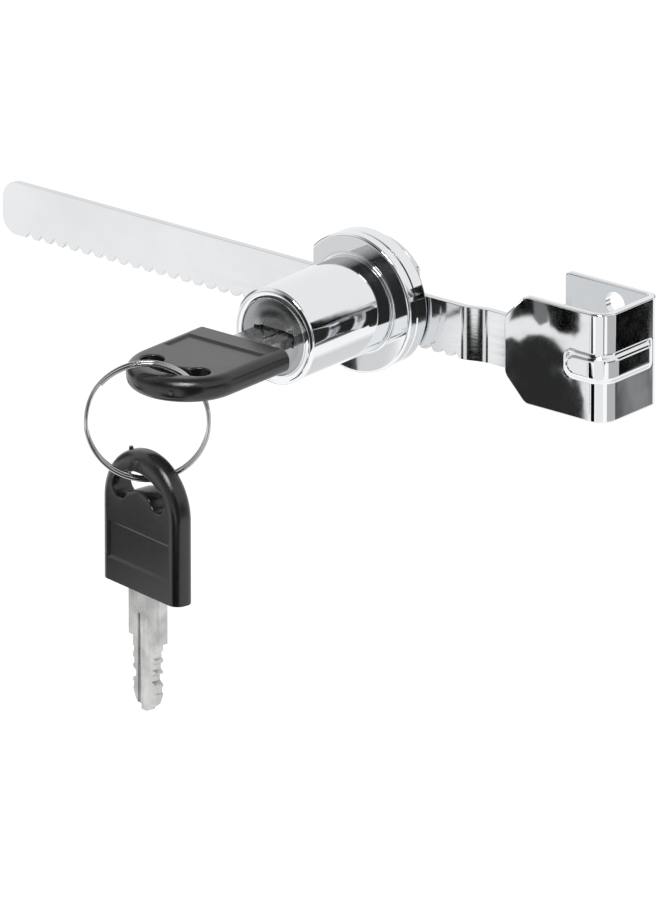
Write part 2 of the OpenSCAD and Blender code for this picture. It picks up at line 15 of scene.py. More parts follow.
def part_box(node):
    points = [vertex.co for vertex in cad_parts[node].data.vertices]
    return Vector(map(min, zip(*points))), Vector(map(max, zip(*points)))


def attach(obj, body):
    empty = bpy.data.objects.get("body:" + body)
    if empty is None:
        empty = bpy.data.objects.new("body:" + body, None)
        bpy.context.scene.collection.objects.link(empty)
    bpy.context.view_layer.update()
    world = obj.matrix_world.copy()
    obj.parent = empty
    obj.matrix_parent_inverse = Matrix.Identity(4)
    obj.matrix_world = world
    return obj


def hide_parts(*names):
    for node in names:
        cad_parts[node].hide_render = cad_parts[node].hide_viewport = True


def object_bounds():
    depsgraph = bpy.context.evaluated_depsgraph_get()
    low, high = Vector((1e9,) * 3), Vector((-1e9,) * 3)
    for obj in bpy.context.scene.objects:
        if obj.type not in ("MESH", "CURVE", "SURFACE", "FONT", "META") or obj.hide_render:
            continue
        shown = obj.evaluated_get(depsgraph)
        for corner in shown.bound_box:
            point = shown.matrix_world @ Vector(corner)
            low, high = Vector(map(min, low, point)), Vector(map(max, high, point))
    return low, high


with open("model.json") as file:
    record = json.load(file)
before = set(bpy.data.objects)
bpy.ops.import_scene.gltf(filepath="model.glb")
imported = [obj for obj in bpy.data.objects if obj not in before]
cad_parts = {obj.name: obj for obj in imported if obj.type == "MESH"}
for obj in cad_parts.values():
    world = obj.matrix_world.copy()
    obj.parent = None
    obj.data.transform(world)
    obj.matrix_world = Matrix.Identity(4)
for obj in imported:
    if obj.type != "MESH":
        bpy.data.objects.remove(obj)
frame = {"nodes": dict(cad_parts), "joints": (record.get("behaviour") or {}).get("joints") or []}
CAD_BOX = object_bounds()

bl_info = {
    "name": "Glass Cabinet Door Lock",
    "version": (1, 0, 0),
    "blender": (4, 5, 0),
    "location": "3D View > Sidebar > Lock",
    "description": "Builds the looks of a ratchet lock with two keys around its CAD frame",
    "category": "Object",
}

MM = 0.001
JOINTS = {joint["name"]: joint for joint in frame["joints"]}

# The lock's axis, and the middle of the key ring
AXIS = Vector(JOINTS["plug_turn"]["pos_m"])
RING = Vector(JOINTS["ring_turn"]["pos_m"])

# Front face of the bar: depths of the lock are counted from here
BAR_LOW, BAR_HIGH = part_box("ratchet_bar")
BAR_FRONT = BAR_LOW.y

# Corners closer than NEAR are one place, and vertices closer than MERGE become one
NEAR = MM / 100
MERGE = 0.002 * MM

# Radii of fine edges
FINE_EDGE = 0.12 * MM
CLIP_EDGE = 0.42 * MM
PLUG_EDGE = 0.1 * MM
RIVET_EDGE = 0.08 * MM

# Play of the moving pieces, and how far a cutter reaches past the face that it opens
PLAY = 0.15 * MM
PLUG_PLAY = 0.05 * MM
BAR_PLAY = 0.1 * MM
PAST_FRONT = 0.05 * MM
PAST_COVER = 2 * MM

# Glass clip: points of the cut corners, spacing of the cuts that shape the rib, the rib's end in
# the web, and the share of the rib's half width that its flat top takes
CUT_ROUND = 0.9 * MM
RIB_GRID = 0.4 * MM
RIB_SHORT = 0.5 * MM
RIB_FADE = 1.2 * MM
RIB_TOP = 0.62
BEND_STEPS = 12

# Lock body: bore, seat of the plug's collar, chamfer of the face, line round the flange, and
# round corners
BORE = 5.55 * MM
COLLAR = 1.7 * MM
CHAMFER = 0.6 * MM
LINE_AT = 3.4 * MM
LINE_DEEP = 0.2 * MM
FLANGE_ROUND = 0.55 * MM
GROOVE_ROUND = 0.3 * MM
CHAMFER_ROUND = 0.25 * MM
GROOVE_STEPS = 16

# Rooms in the body for the plug's tail, the pawl's wings and stem, and the wells of its springs
TAIL_RADIUS = 6.6 * MM
TAIL_DEEP = 4 * MM
WING_DROP = 2.8 * MM
STEM_HALF = 3.1 * MM
SPRING_AT = 6.7 * MM
WELL_HALF = 1.03 * MM
WELL_DEEP = 2.43 * MM
WELL_LOW = 8.4 * MM

# Key blades: inner edges that are at least this sharp, in degrees, and this long lie in the flutes
FLUTE_SHARP = 60
FLUTE_LEAST = 4 * MM

# Key heads: lip of the arched hole, slope of the panel's walls, and the stub of the mould's gate
HOLE_LIP = 0.35 * MM
PANEL_SLOPE = 0.55 * MM
GATE_RADIUS = 0.5 * MM
GATE_AT = 4.8 * MM
GATE_LONG = 1.1 * MM
GATE_TAPER = 0.8

# Steps of a key head's curves: round end and straight sides, outer and inner arc of the hole and
# the round ends between them, and a quarter turn of the long edges and of the hole's lip
END_STEPS, SIDE_STEPS = 48, 6
OUTER_STEPS, INNER_STEPS, LOBE_STEPS = 24, 16, 18
EDGE_STEPS, LIP_STEPS = 8, 3

# The photograph's view and frame: where the lock's axis meets the bar's front, and the scale there
VIEW_TURN, VIEW_RISE = radians(39.4), radians(20.2)
PICTURE_WIDE, PICTURE_HIGH = 660, 900
AXIS_IN_PICTURE = Vector((372.6, 295.7))
PIXELS_PER_MM = 5.44
CAMERA_AWAY = 4.0

# The floor: half width, distance under the object, and the share of it that shows as white
FLOOR_HALF = 3.0
FLOOR_DROP = 0.06
FLOOR_WHITE = 0.9

# Lamps: place, diameter, power, and whether they show in gloss
LAMPS = (
    ("key_light", (-0.45, -0.55, 0.75), 0.5, 9.0, False),
    ("fill_light", (0.6, -0.6, 0.4), 0.5, 5.0, False),
    ("top_light", (0.0, 0.2, 0.9), 0.6, 6.0, False),
    ("rim_light", (0.2, -0.5, 0.8), 0.35, 18.0, True),
)

# Flags of the studio, in mm: cloth, the axis across it and its place on that axis, width of the
# soft edge, and outline
FLAGS = (
    # The clip's front leg and front bend
    ("flag_leg", "white_flag", "y", -62.5, 0.5, (
        (-66.5, -10), (-39, -10), (-39, -43), (-66.5, -43))),
    ("flag_leg_low", "dark_flag", "y", -62, 0.4, (
        (-66.5, -24.5), (-64.1, -23.3), (-62.2, -23.7), (-59.8, -21.7), (-56.3, -21.1),
        (-53.7, -21.1), (-52, -22.5), (-51, -23.6), (-51.5, -25.5), (-50.8, -27.7), (-47.7, -29.7),
        (-46.5, -32.7), (-45.8, -40), (-66.5, -40))),
    ("flag_leg_corner", "black_flag", "y", -62, 0.4, (
        (-64.1, -20), (-62.7, -15.2), (-59.8, -12), (-58.4, -13), (-58.4, -17.5), (-61.3, -18.4))),
    ("flag_leg_top", "black_flag", "y", -62, 0.4, (
        (-55.6, -12), (-47.2, -12), (-47, -17.4), (-49.1, -19.1), (-52.2, -19.8), (-54.4, -18.7))),
    ("flag_leg_grey", "grey_flag", "y", -62.2, 0.4, (
        (-59, -12), (-55, -12), (-55, -18), (-57, -19.3), (-59, -18))),
    ("flag_bend", "white_flag", "y", -16, 0.3, ((-0.5, -18), (12, -18), (12, 10), (-0.5, 10))),
    ("flag_bend_side", "pale_flag", "x", 60, 3.0, ((-20, -42), (60, -42), (60, -6), (-20, -6))),
    # The clip's web, and the dark streak along the barrel
    ("flag_web", "black_flag", "x", 157.6, 4.0, (
        (177, -98), (190, -97), (200, -93), (202, -86), (204, -77), (217, -75), (217, -66),
        (177, -66))),
    ("flag_web_side", "slate_flag", "x", 158, 3.0, (
        (165, -112), (196.5, -112), (195, -90), (165, -90))),
    ("flag_streak_low", "black_flag", "x", 157.8, 1.0, (
        (205, -96), (217, -96), (217, -74), (205, -74))),
    ("flag_web_low", "ash_flag", "x", 158.4, 1.0, (
        (165, -112), (205, -112), (205, -77), (165, -77))),
    ("flag_streak_edge", "slate_flag", "x", 158.6, 2.0, (
        (165, -112), (225, -112), (225, -90), (165, -90))),
    ("flag_streak", "black_flag", "x", 160, 9.0, (
        (150, 20), (202, 20), (198, 60), (207, 110), (150, 130))),
    ("flag_rim", "black_flag", "x", 160, 3.0, ((194, -14), (224, -14), (224, 66), (206, 66))),
    ("flag_barrel_low", "pale_flag", "x", 159, 12.0, (
        (195, -175), (285, -175), (250, -95), (195, -95))),
    # The flange, the bar and its step, and the hanging key
    ("flag_room", "dark_flag", "y", -200, 36.0, (
        (50, -165), (340, -165), (340, 100), (210, 175), (90, 235), (-100, 235), (-60, 130),
        (10, 50), (34, -40))),
    ("flag_front", "light_flag", "y", -150, 5.0, (
        (-180, -94), (-152, -94), (-152, -38), (-180, -38))),
    ("flag_room_edge", "dark_flag", "y", -203, 100.0, (
        (-165, 20), (120, 20), (120, 330), (-165, 330))),
    ("flag_neck", "pale_flag", "y", -205, 25.0, (
        (-60, 240), (-130, 232), (-205, 190), (-255, 115), (-270, -20), (-240, -45), (-205, -20),
        (-180, 75), (-140, 120), (-60, 140))),
    ("flag_joggle", "black_flag", "y", -120, 3.0, (
        (-62, -84), (-8, -84), (-8, -42), (-28, -40), (-38, -24), (-62, -24))),
    ("flag_wedge", "dark_flag", "y", -73.8, 0.3, (
        (-107.5, -41), (-101.5, -41), (-101.5, -35), (-107.5, -35))),
    ("flag_key", "dark_flag", "x", -200, 3.0, (
        (-98, -95), (-172, -98), (-172, -90), (-142, -75), (-98, -56))),
    ("flag_barrel_floor", "light_flag", "z", -117.5, 40.0, (
        (-110, 55), (30, 55), (30, 150), (-110, 150))),
    ("flag_teeth", "black_flag", "z", -118, 6.0, ((-330, 20), (-120, 20), (-120, 75), (-330, 75))),
    # Walls and ceiling, for the other views
    ("flag_back", "grey_flag", "y", 700, 150.0, (
        (-380, -260), (330, -260), (330, 190), (-380, 190))),
    ("flag_right", "grey_flag", "x", 700, 150.0, (
        (-260, -240), (330, -240), (330, 190), (-260, 190))),
    ("flag_left", "grey_flag", "x", -900, 150.0, (
        (-250, -110), (250, -110), (250, 300), (-250, 300))),
    ("flag_ceiling", "grey_flag", "z", 800, 500.0, (
        (-520, -440), (420, -440), (420, 420), (-520, 420))),
)


def length(name, text, default):
    """A size in metres, given in millimetres."""
    return FloatProperty(name=name, description=text, default=default * MM, min=0, precision=5,
                         subtype="DISTANCE", unit="LENGTH")


def angle(name, text, default):
    """An angle in radians, given in degrees."""
    return FloatProperty(name=name, description=text, default=radians(default), subtype="ANGLE")


def colour(name, text, default):
    """An sRGB colour, as a hex value."""
    return StringProperty(name=name, description=text, default=default)


class LockSizes(bpy.types.PropertyGroup):
    """Sizes of the lock and its keys"""

    bar_thick: length("Bar thickness", "Thickness of the toothed bar", 1.4)
    bar_tip: length("Tip radius", "Radius of the two corners at the bar's tip", 3.5)
    pitch: length("Tooth pitch", "Distance from one tooth to the next", 3.0)
    notch_deep: length("Notch depth", "Depth of the notches between the teeth", 1.2)
    notch_wide: length("Notch width", "Width of a notch at the bar's edge", 1.8)
    tip_plain: length("Plain tip", "Length of the tip that has no teeth", 5.0)
    teeth_after: length("Last notch", "Distance from the lock's axis to the last notch", 19.5)
    jog_at: length("Joggle place", "Distance from the lock's axis to the joggle", 21.5)
    jog_long: length("Joggle length", "Length of the step behind the clip", 4.0)
    sheet: length("Clip sheet", "Thickness of the clip's sheet", 1.4)
    front_bend: length("Front bend", "Outer radius of the clip's front bend", 3.3)
    back_bend: length("Back bend", "Outer radius of the clip's back bend", 2.2)
    corner: length("Cut corner", "Size of the cut corners of the front leg", 4.9)
    back_round: length("Back corner", "Corner radius of the back leg", 1.2)
    back_leg: length("Back leg", "Length of the back leg, with the web", 21.4)
    rib_wide: length("Rib width", "Width of the pressed rib", 5.6)
    rib_high: length("Rib height", "Height of the pressed rib", 0.8)
    rib_reach: length("Rib reach", "Distance from the web to the rib's end", 9.5)
    hole: length("Hole diameter", "Diameter of the clip's screw holes", 4.5)
    hole_gap: length("Hole distance", "Distance between the screw holes", 13.8)
    hole_in: length("Hole place", "Distance from the web to the screw holes", 9.5)
    barrel: length("Barrel radius", "Radius of the barrel", 9.3)
    face: length("Barrel face", "Distance from the bar to the barrel's face", 28.9)
    flange: length("Flange radius", "Radius of the flange", 13.4)
    flange_front: length("Flange front", "Distance from the bar to the flange's front", 5.6)
    flange_back: length("Flange back", "Distance from the bar to the flange's back", 0.3)
    groove: length("Groove radius", "Outer radius of the round groove at the barrel's root", 10.0)
    groove_deep: length("Groove depth", "Depth of the groove at the barrel's root", 0.25)
    flat: length("Flange flat", "Distance from the axis to the flat on the flange", 9.5)
    boss: length("Boss radius", "Radius of the boss behind the flange", 11.6)
    mouth: length("Keyway mouth", "Height of the mouth worn above the key blade", 0.45)
    mouth_deep: length("Mouth depth", "Depth of the keyway's mouth", 1.6)
    head_wide: length("Key head width", "Width of a key head", 22.3)
    head_long: length("Key head length", "Length of a key head", 27.0)
    head_thick: length("Key head thickness", "Thickness of a key head", 4.6)
    head_edge: length("Key head edge", "Radius of a key head's long edges", 2.0)
    slot_round: length("Arch radius", "Radius of the arched hole's middle line", 7.73)
    slot_at: length("Arch centre", "Distance from the round end to the arch's centre", 13.4)
    slot_wide: length("Arch width", "Width of the arched hole", 3.5)
    lobe: length("Lobe radius", "Radius of the arched hole's ends", 2.2)
    panel_wide: length("Panel width", "Width of the bare label panel", 18.0)
    panel_long: length("Panel length", "Length of the bare label panel", 7.4)
    panel_at: length("Panel place", "Distance from the straight end to the panel", 4.3)
    panel_deep: length("Panel depth", "Depth of the bare label panel", 0.4)
    blade_out: length("Blade length", "Length of a blade outside its head", 23.3)
    flute_round: length("Flute radius", "Radius of the flutes' bottom corners", 0.42)
    wire: length("Ring wire", "Diameter of the ring's wire", 0.8)
    turn_gap: length("Turn gap", "Space between the ring's two turns", 0.45)
    ring_yaw: angle("Ring direction", "Direction of the ring's plane, seen from above", 39.4)
    hang_yaw: angle("Hanging direction", "Direction of the hanging key's width", 168)
    round_steps: IntProperty(name="Round steps", description="Steps of a full turned circle",
                             default=160, min=24)


class LockColours(bpy.types.PropertyGroup):
    """Colours of the finishes and of the studio's cloths"""

    chrome: colour("Chrome", "Polished chrome plate", "#E4E6E8")
    strip: colour("Bar plate", "Satin nickel plate of the bar", "#DBDCDD")
    strip_cloud: colour("Bar plate cloud", "Duller clouds in the bar's plate", "#D2D3D5")
    # The plug's grey is its satin nickel tone darkened with painted shade: it stands in for the
    # dark reflection of the key head in its face
    plug: colour("Plug", "Satin plate of the plug", "#A2A3A5")
    blade: colour("Key blade", "Nickel silver of the blades", "#CFCFCE")
    blade_cloud: colour("Key blade cloud", "Duller clouds on the blades", "#A8A8A7")
    # The wire's grey is the plated tone darkened with painted shade: it stands in for the dark
    # reflections along the real wire
    wire: colour("Ring wire", "Nickel-plated spring wire", "#B6B8BB")
    plastic: colour("Key head", "Black moulded plastic", "#060607")
    plastic_cloud: colour("Key head cloud", "Lighter clouds in the plastic", "#0B0B0C")
    brass: colour("Wafers", "Stamped brass", "#C8A55A")
    steel: colour("Works", "Plain steel of the hidden works", "#A9ABAE")
    steel_cloud: colour("Works cloud", "Darker clouds in the works' plating", "#8E9093")
    black_flag: colour("Black flag", "Black studio cloth", "#0A0A0A")
    dark_flag: colour("Dark flag", "Dark grey studio cloth", "#2E2E2E")
    slate_flag: colour("Slate flag", "Slate grey studio cloth", "#5C5C5C")
    grey_flag: colour("Grey flag", "Grey studio cloth", "#7C7C7C")
    ash_flag: colour("Ash flag", "Ash grey studio cloth", "#949494")
    pale_flag: colour("Pale flag", "Pale grey studio cloth", "#C4C4C4")
    light_flag: colour("Light flag", "Light grey studio cloth", "#E6E6E6")
    white_flag: colour("White flag", "White studio cloth", "#FFFFFF")
    floor: colour("Floor", "Pale studio floor", "#F4F4F4")


def sizes():
    return bpy.context.scene.lock_sizes


def colours():
    return bpy.context.scene.lock_colours


# Materials


def linear(code):
    """Linear RGBA of an sRGB hex value."""
    parts = [int(code[i:i + 2], 16) / 255 for i in (1, 3, 5)]
    return [c / 12.92 if c <= 0.04045 else ((c + 0.055) / 1.055) ** 2.4 for c in parts] + [1.0]


def add(tree, kind, settings=None, into=None, **inputs):
    """Adds a node with its settings and links, and leads its first output into a socket.

    An input is named, or numbered as i0, i1 and so on. It takes an output socket or a plain value.
    """
    node = tree.nodes.new(kind)
    for key, value in (settings or {}).items():
        setattr(node, key, value)
    for key, value in inputs.items():
        numbered = key[0] == "i" and key[1:].isdigit()
        socket = node.inputs[int(key[1:]) if numbered else key.replace("_", " ")]
        if isinstance(value, bpy.types.NodeSocket):
            tree.links.new(value, socket)
        else:
            socket.default_value = value
    if into is not None:
        tree.links.new(node.outputs[0], into)
    return node


def new_material(name, metal=False):
    """An empty material with its tree, the sockets of its shader and Object coordinates."""
    material = bpy.data.materials.new(name)
    material.use_nodes = True
    tree = material.node_tree
    shader = tree.nodes["Principled BSDF"]
    if metal:
        shader.inputs["Metallic"].default_value = 1.0
    place = add(tree, "ShaderNodeTexCoord").outputs["Object"]
    return material, tree, shader.inputs, place


# A wave texture of scale 1 goes through this many radians in one unit of length
WAVE_RADIANS = 20


def per_mm(spacing):
    """Texture scale that repeats a pattern once in this many millimetres."""
    return 1 / (spacing * MM)


def clouded(tree, sockets, cloud, first, second):
    """Colours a shader with two tints, mixed by a soft pattern of clouds."""
    share = add(tree, "ShaderNodeMapRange", Value=cloud, From_Min=0.3, From_Max=0.7)
    tint = add(tree, "ShaderNodeMix", {"data_type": "RGBA"}, Factor=share.outputs[0],
               i6=linear(first), i7=linear(second))
    tree.links.new(tint.outputs[2], sockets["Base Color"])


def worked(tree, sockets, pattern, rough, relief=None, span=(0.3, 0.7)):
    """Gives a shader its roughness, and its relief if it has one, from a pattern.

    The pattern's values in the span go from the lower to the higher roughness. The relief is a
    strength and a height in mm.
    """
    add(tree, "ShaderNodeMapRange", into=sockets["Roughness"], Value=pattern,
        From_Min=span[0], From_Max=span[1], To_Min=rough[0], To_Max=rough[1])
    if relief:
        add(tree, "ShaderNodeBump", into=sockets["Normal"], Height=pattern, Strength=relief[0],
            Distance=relief[1] * MM)


def polished_chrome():
    """Chrome plate on pressed steel and die-cast zinc.

    Bright, with a faint ripple of the metal under the plate.
    """
    material, tree, sockets, place = new_material("polished_chrome_plate", metal=True)
    sockets["Base Color"].default_value = linear(colours().chrome)
    ripple = add(tree, "ShaderNodeTexNoise", Vector=place, Scale=per_mm(9), Detail=2.0)
    haze = add(tree, "ShaderNodeTexNoise", Vector=place, Scale=per_mm(2.5), Detail=5.0)
    worked(tree, sockets, haze.outputs[0], (0.035, 0.07), span=(0.35, 0.75))
    add(tree, "ShaderNodeBump", into=sockets["Normal"], Height=ripple.outputs[0],
        Strength=0.05, Distance=0.25 * MM)
    return material


def satin_strip():
    """Nickel plate on rolled steel strip.

    The fine lines of rolling run along the bar and spread its highlights.
    """
    material, tree, sockets, place = new_material("satin_nickel_strip", metal=True)
    rolled = add(tree, "ShaderNodeMapping", Vector=place,
                 Scale=(per_mm(14), per_mm(0.8), per_mm(0.32)))
    lines = add(tree, "ShaderNodeTexNoise", Vector=rolled.outputs[0], Scale=1.0, Detail=4.0)
    cloud = add(tree, "ShaderNodeTexNoise", Vector=place, Scale=per_mm(18), Detail=3.0)
    clouded(tree, sockets, cloud.outputs[0], colours().strip, colours().strip_cloud)
    worked(tree, sockets, lines.outputs[0], (0.07, 0.13), (0.1, 0.03))
    return material


def satin_plug():
    """Nickel plate on a turned plug. Fine rings of turning circle the lock's axis."""
    material, tree, sockets, place = new_material("turned_nickel_plug", metal=True)
    # Base colour: satin nickel tone with painted shade, darkened to stand in for the key head's
    # dark reflection in the plug's face
    sockets["Base Color"].default_value = linear(colours().plug)
    centred = add(tree, "ShaderNodeMapping", Vector=place, Location=(-AXIS.x, 0.0, -AXIS.z))
    # Real turning marks are about 0.05 mm apart. They are drawn 2.2 mm apart so that they show: the
    # wave goes through one radian in 0.35 mm
    rings = add(tree, "ShaderNodeTexWave", {"wave_type": "RINGS", "rings_direction": "Y"},
                Vector=centred.outputs[0], Scale=per_mm(0.35) / WAVE_RADIANS, Distortion=0.6,
                Detail=2.0)
    worked(tree, sockets, rings.outputs[1], (0.16, 0.28), (0.2, 0.02), span=(0, 1))
    return material


def nickel_silver():
    """Nickel silver blade stock, milled and tumbled.

    Pale grey, with streaks of milling and duller clouds.
    """
    material, tree, sockets, place = new_material("tumbled_nickel_silver", metal=True)
    # Both blades are long in Y or Z, so one pattern that is short in X runs along either
    milled = add(tree, "ShaderNodeMapping", Vector=place, Scale=(per_mm(0.5), per_mm(5), per_mm(5)))
    streaks = add(tree, "ShaderNodeTexNoise", Vector=milled.outputs[0], Scale=1.0, Detail=5.0,
                  Roughness=0.6)
    cloud = add(tree, "ShaderNodeTexNoise", Vector=place, Scale=per_mm(4), Detail=3.0)
    clouded(tree, sockets, cloud.outputs[0], colours().blade, colours().blade_cloud)
    worked(tree, sockets, streaks.outputs[0], (0.16, 0.34), (0.4, 0.05))
    return material


def spring_wire():
    """Nickel-plated spring steel wire. Bright, with a slight haze and no die lines that show."""
    material, tree, sockets, place = new_material("plated_spring_wire", metal=True)
    # Base colour: plated tone with painted shade, darkened to stand in for the dark reflections
    # along the wire
    sockets["Base Color"].default_value = linear(colours().wire)
    haze = add(tree, "ShaderNodeTexNoise", Vector=place, Scale=per_mm(1.5), Detail=4.0)
    worked(tree, sockets, haze.outputs[0], (0.05, 0.11))
    return material


def moulded_black():
    """Black ABS, moulded with a fine spark texture.

    Semi-matt, with soft highlights along the rounded edges.
    """
    material, tree, sockets, place = new_material("moulded_black_abs")
    sockets["IOR"].default_value = 1.53
    # A real spark texture is about 0.1 mm; it is drawn at 0.3 mm so that it shows
    grain = add(tree, "ShaderNodeTexNoise", Vector=place, Scale=per_mm(0.3), Detail=3.0,
                Roughness=0.6)
    cloud = add(tree, "ShaderNodeTexNoise", Vector=place, Scale=per_mm(7), Detail=2.0)
    clouded(tree, sockets, cloud.outputs[0], colours().plastic, colours().plastic_cloud)
    worked(tree, sockets, grain.outputs[0], (0.17, 0.27), (0.09, 0.05))
    return material


def stamped_brass():
    """Brass wafers, stamped from sheet. Warm yellow with a fine rolled grain."""
    material, tree, sockets, place = new_material("stamped_brass", metal=True)
    sockets["Base Color"].default_value = linear(colours().brass)
    rolled = add(tree, "ShaderNodeMapping", Vector=place,
                 Scale=(per_mm(3), per_mm(0.4), per_mm(0.4)))
    grain = add(tree, "ShaderNodeTexNoise", Vector=rolled.outputs[0], Scale=1.0, Detail=3.0)
    worked(tree, sockets, grain.outputs[0], (0.25, 0.45))
    return material


def plain_steel():
    """Zinc-plated steel of the works. Grey and even, with a light cloud in the plating."""
    material, tree, sockets, place = new_material("zinc_plated_steel", metal=True)
    cloud = add(tree, "ShaderNodeTexNoise", Vector=place, Scale=per_mm(2), Detail=4.0)
    clouded(tree, sockets, cloud.outputs[0], colours().steel, colours().steel_cloud)
    worked(tree, sockets, cloud.outputs[0], (0.28, 0.45))
    return material


FINISHES = {}


def finish_of(make):
    """The material that this function makes, made once."""
    if make.__name__ not in FINISHES:
        FINISHES[make.__name__] = make()
    return FINISHES[make.__name__]


# Mesh helpers


def outline_face(bm, points):
    """A flat face through these points."""
    return bm.faces.new([bm.verts.new(p) for p in points])


def closed_loop(bm, points):
    """A closed loop of edges through these points."""
    verts = [bm.verts.new(p) for p in points]
    return [bm.edges.new((a, b)) for a, b in zip(verts, verts[1:] + verts[:1])]


def extruded(bm, faces, by):
    """Gives flat faces a thickness."""
    made = bmesh.ops.extrude_face_region(bm, geom=faces)["geom"]
    moved = [v for v in made if isinstance(v, bmesh.types.BMVert)]
    bmesh.ops.translate(bm, verts=moved, vec=by)


def round_corners(bm, verts, radius, steps):
    """Rounds corners of a flat face."""
    bmesh.ops.bevel(bm, geom=verts, offset=radius, segments=steps, profile=0.5,
                    affect="VERTICES", material=-1)


def round_edges(bm, edges, radius, steps):
    """Rounds these edges."""
    bmesh.ops.bevel(bm, geom=edges, offset=radius, segments=steps, profile=0.5,
                    affect="EDGES", material=-1, clamp_overlap=True)


def sharp_edges(bm, least):
    """Edges between two faces that turn by more than this many degrees."""
    return [e for e in bm.edges
            if len(e.link_faces) == 2 and e.calc_face_angle(0) > radians(least)]


def soften(bm, radius, steps=3, least=38):
    """Rounds every sharp edge."""
    round_edges(bm, sharp_edges(bm, least), radius, steps)


def slice_at(bm, points, normal):
    """Cuts edges across the mesh through each point."""
    for point in points:
        geom = bm.verts[:] + bm.edges[:] + bm.faces[:]
        bmesh.ops.bisect_plane(bm, geom=geom, plane_co=point, plane_no=normal)


def smooth_step(value, low, high):
    """Rises smoothly from 0 at the low value to 1 at the high one."""
    t = min(max((value - low) / (high - low), 0), 1)
    return t * t * (3 - 2 * t)


def block(bm, low, high):
    """A box between two corners."""
    low, high = Vector(low), Vector(high)
    place = Matrix.Translation((low + high) / 2) @ Matrix.Diagonal((*(high - low), 1))
    bmesh.ops.create_cube(bm, size=1, matrix=place)


def rod(bm, centre, radius, start, end, steps=64):
    """A round rod along Y between two depths."""
    middle = Matrix.Translation((centre[0], (start + end) / 2, centre[1]))
    bmesh.ops.create_cone(bm, cap_ends=True, segments=steps, radius1=radius, radius2=radius,
                          depth=end - start, matrix=middle @ Matrix.Rotation(pi / 2, 4, "X"))


def mesh_object(name, bm):
    """An object at the origin with this mesh."""
    mesh = bpy.data.meshes.new(name)
    bm.to_mesh(mesh)
    bm.free()
    obj = bpy.data.objects.new(name, mesh)
    bpy.context.scene.collection.objects.link(obj)
    return obj


def carved(bm, cutters):
    """The mesh less each cutter. A cutter is a function that draws a closed shape in a mesh."""
    body = mesh_object("carving", bm)
    tools = []
    for draw in cutters:
        shape = bmesh.new()
        draw(shape)
        bmesh.ops.recalc_face_normals(shape, faces=shape.faces[:])
        tools.append(mesh_object("cutter", shape))
        cut = body.modifiers.new("cut", "BOOLEAN")
        cut.operation = "DIFFERENCE"
        cut.solver = "EXACT"
        cut.object = tools[-1]
    result = bmesh.new()
    bpy.context.view_layer.update()
    result.from_object(body, bpy.context.evaluated_depsgraph_get())
    for obj in [body] + tools:
        mesh = obj.data
        bpy.data.objects.remove(obj)
        bpy.data.meshes.remove(mesh)
    return result


def finish_piece(name, bm, make, body, nodes, smooth=30):
    """Turns a mesh into a finished piece that rides on a body and stands for CAD nodes.

    Edges that turn by more than the smooth angle, in degrees, stay sharp.
    """
    bmesh.ops.remove_doubles(bm, verts=bm.verts[:], dist=MERGE)
    bmesh.ops.recalc_face_normals(bm, faces=bm.faces[:])
    obj = mesh_object(name, bm)
    obj.data.polygons.foreach_set("use_smooth", [True] * len(obj.data.polygons))
    obj.data.set_sharp_from_angle(angle=radians(smooth))
    obj.data.materials.append(finish_of(make))
    # Large flat faces keep their own direction beside the narrow round edges
    weigh = obj.modifiers.new("flat_faces", "WEIGHTED_NORMAL")
    weigh.keep_sharp = True
    weigh.weight = 100
    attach(obj, body)
    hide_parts(*nodes)
    return obj


def node_mesh(node):
    """A copy of a CAD node's mesh, with its triangles joined to flat faces."""
    bm = bmesh.new()
    bm.from_mesh(frame["nodes"][node].data)
    bmesh.ops.remove_doubles(bm, verts=bm.verts[:], dist=MERGE)
    bmesh.ops.dissolve_limit(bm, angle_limit=radians(1), verts=bm.verts[:], edges=bm.edges[:])
    return bm


def dressed_copy(node, radius, make, body):
    """A softened copy of a CAD node that has plain flat faces."""
    bm = node_mesh(node)
    soften(bm, radius)
    finish_piece(node + "_finish", bm, make, body, [node])


def set_finish(node, make):
    """Gives a CAD node that stays its material."""
    materials = frame["nodes"][node].data.materials
    materials.clear()
    materials.append(finish_of(make))


# Operators


class LOCK_OT_ratchet_bar(bpy.types.Operator):
    """Toothed bar with its round tip and the step behind the clip"""

    bl_idname = "lock.ratchet_bar"
    bl_label = "Ratchet bar"

    def execute(self, context):
        s = sizes()
        low, high = BAR_LOW.z, BAR_HIGH.z
        tip, end = BAR_LOW.x, BAR_HIGH.x
        middle = AXIS.x - s.pitch / 2
        half = s.notch_wide / 2
        before = int((middle - half - tip - s.tip_plain) / s.pitch)
        after = int((s.teeth_after + s.pitch / 2) / s.pitch)
        teeth = []
        for k in range(-before, after + 1):
            x = middle + k * s.pitch
            teeth += [(x - half, low), (x, low + s.notch_deep), (x + half, low)]
        points = [(tip, low)] + teeth + [(end, low), (end, high), (tip, high)]
        bm = bmesh.new()
        outline_face(bm, [(x, BAR_FRONT, z) for x, z in points])
        round_corners(bm, [v for v in bm.verts if abs(v.co.x - tip) < NEAR], s.bar_tip, steps=8)
        extruded(bm, bm.faces[:], (0, s.bar_thick, 0))
        # The joggle is one thickness deep, and its soft ends reach a little past its length
        start = AXIS.x + s.jog_at
        soft = s.jog_long / 5
        steps = 12
        cuts = [start - soft + (s.jog_long + 2 * soft) * k / steps for k in range(steps + 1)]
        slice_at(bm, [(x, 0, 0) for x in cuts], (1, 0, 0))
        for v in bm.verts:
            v.co.y += s.bar_thick * smooth_step(v.co.x, cuts[0], cuts[-1])
        soften(bm, FINE_EDGE, steps=2)
        finish_piece("toothed_strip", bm, satin_strip, "bar", ["ratchet_bar"])
        return {"FINISHED"}


